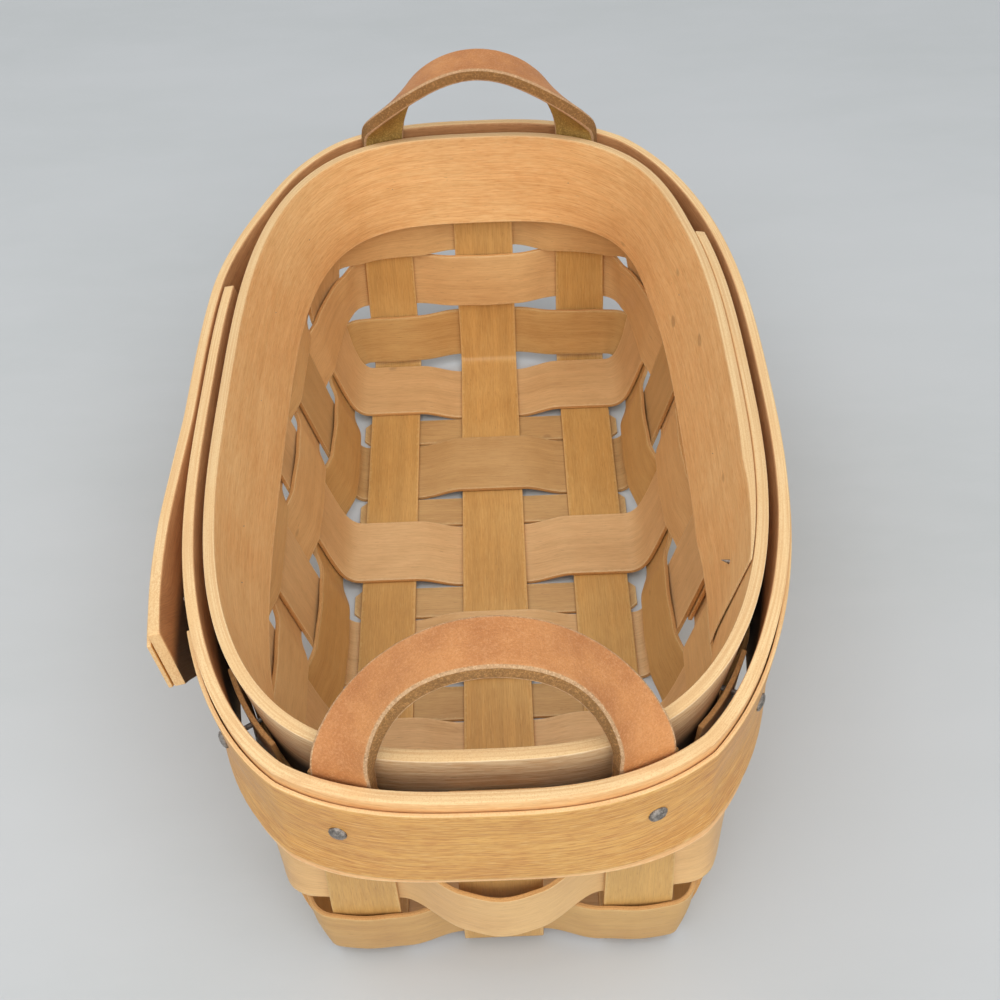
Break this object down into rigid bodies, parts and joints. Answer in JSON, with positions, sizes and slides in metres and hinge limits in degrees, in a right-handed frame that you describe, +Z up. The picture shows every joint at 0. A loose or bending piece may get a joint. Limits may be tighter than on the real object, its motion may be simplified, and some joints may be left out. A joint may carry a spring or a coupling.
{
  "type": "oval splint basket",
  "caption": "Oval woven splint basket with bent wooden rim bands, a trim strip and a leather ear handle at each end.",
  "frame": {"origin": "centre of the underside, on the middle base filler, where the basket rests", "axes": "+Z up to the rim, +Y along the oval towards the far handle, +X to the right seen from the near end"},
  "size_m": [0.1511, 0.2552, 0.1161],
  "materials": {
    "stake_splint": "satin honey stain over straight grain",
    "filler_splint": "satin honey stain, a little darker",
    "weaver_splint": "satin honey stain over straight grain",
    "band_wood": "satin honey stain, pale end grain on the edges",
    "trim_wood": "satin honey stain",
    "strap_leather": "smooth tan face with darker raw edges",
    "tack_steel": "dull grey tack heads"
  },
  "bodies": {
    "root": {"long_stake_right": "stake_splint", "long_stake_centre": "stake_splint", "long_stake_left": "stake_splint", "cross_stake_1": "stake_splint", "cross_stake_2": "stake_splint", "cross_stake_3": "stake_splint", "cross_stake_4": "stake_splint", "cross_stake_5": "stake_splint", "cross_stake_6": "stake_splint", "base_filler_1": "filler_splint", "base_filler_2": "filler_splint", "base_filler_3": "filler_splint", "base_filler_4": "filler_splint", "base_filler_5": "filler_splint", "weaver_row_1": "weaver_splint", "weaver_row_2": "weaver_splint", "weaver_row_3": "weaver_splint", "inner_band": "band_wood", "outer_band": "band_wood", "trim_strip": "trim_wood", "handle_far": "strap_leather", "handle_near": "strap_leather", "tack_far_left": "tack_steel", "tack_far_right": "tack_steel", "tack_near_left": "tack_steel", "tack_near_right": "tack_steel", "tack_corner_far_right": "tack_steel", "tack_corner_far_left": "tack_steel", "tack_corner_near_right": "tack_steel", "tack_corner_near_left": "tack_steel", "tack_left_1": "tack_steel", "tack_left_2": "tack_steel", "tack_left_3": "tack_steel", "tack_left_4": "tack_steel", "tack_right_1": "tack_steel", "tack_right_2": "tack_steel", "tack_right_3": "tack_steel"}
  },
  "joints": []
}
